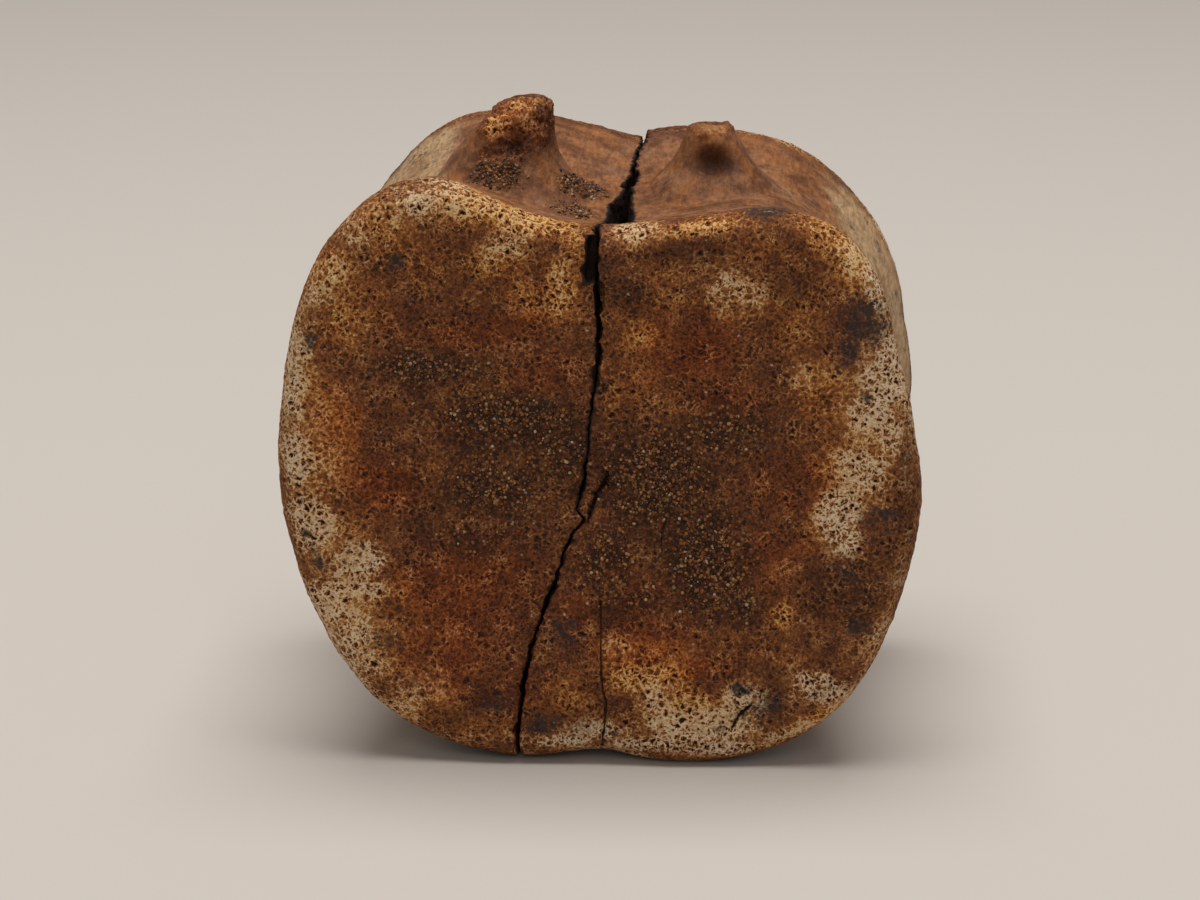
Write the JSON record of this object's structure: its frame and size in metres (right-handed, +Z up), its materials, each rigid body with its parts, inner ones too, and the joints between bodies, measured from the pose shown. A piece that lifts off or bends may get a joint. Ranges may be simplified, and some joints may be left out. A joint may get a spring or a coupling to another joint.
{
  "type": "fossil hadrosaur tail vertebra",
  "caption": "Fossil tail vertebra: a waisted, rounded-square centrum cracked through from top to bottom, with broken neural-arch pedicels on top.",
  "frame": {"origin": "on the floor, under the middle of the bone's box", "axes": "+Z up through the neural canal side, -Y out of the end face that the picture shows, +X to the right as seen from there"},
  "size_m": [0.1022, 0.0732, 0.1021],
  "materials": {
    "fossil_bone": "matt, porous, iron-stained"
  },
  "bodies": {
    "root": {"centrum_left": "fossil_bone", "centrum_right": "fossil_bone", "pedicel_left": "fossil_bone", "pedicel_right": "fossil_bone"}
  },
  "joints": []
}
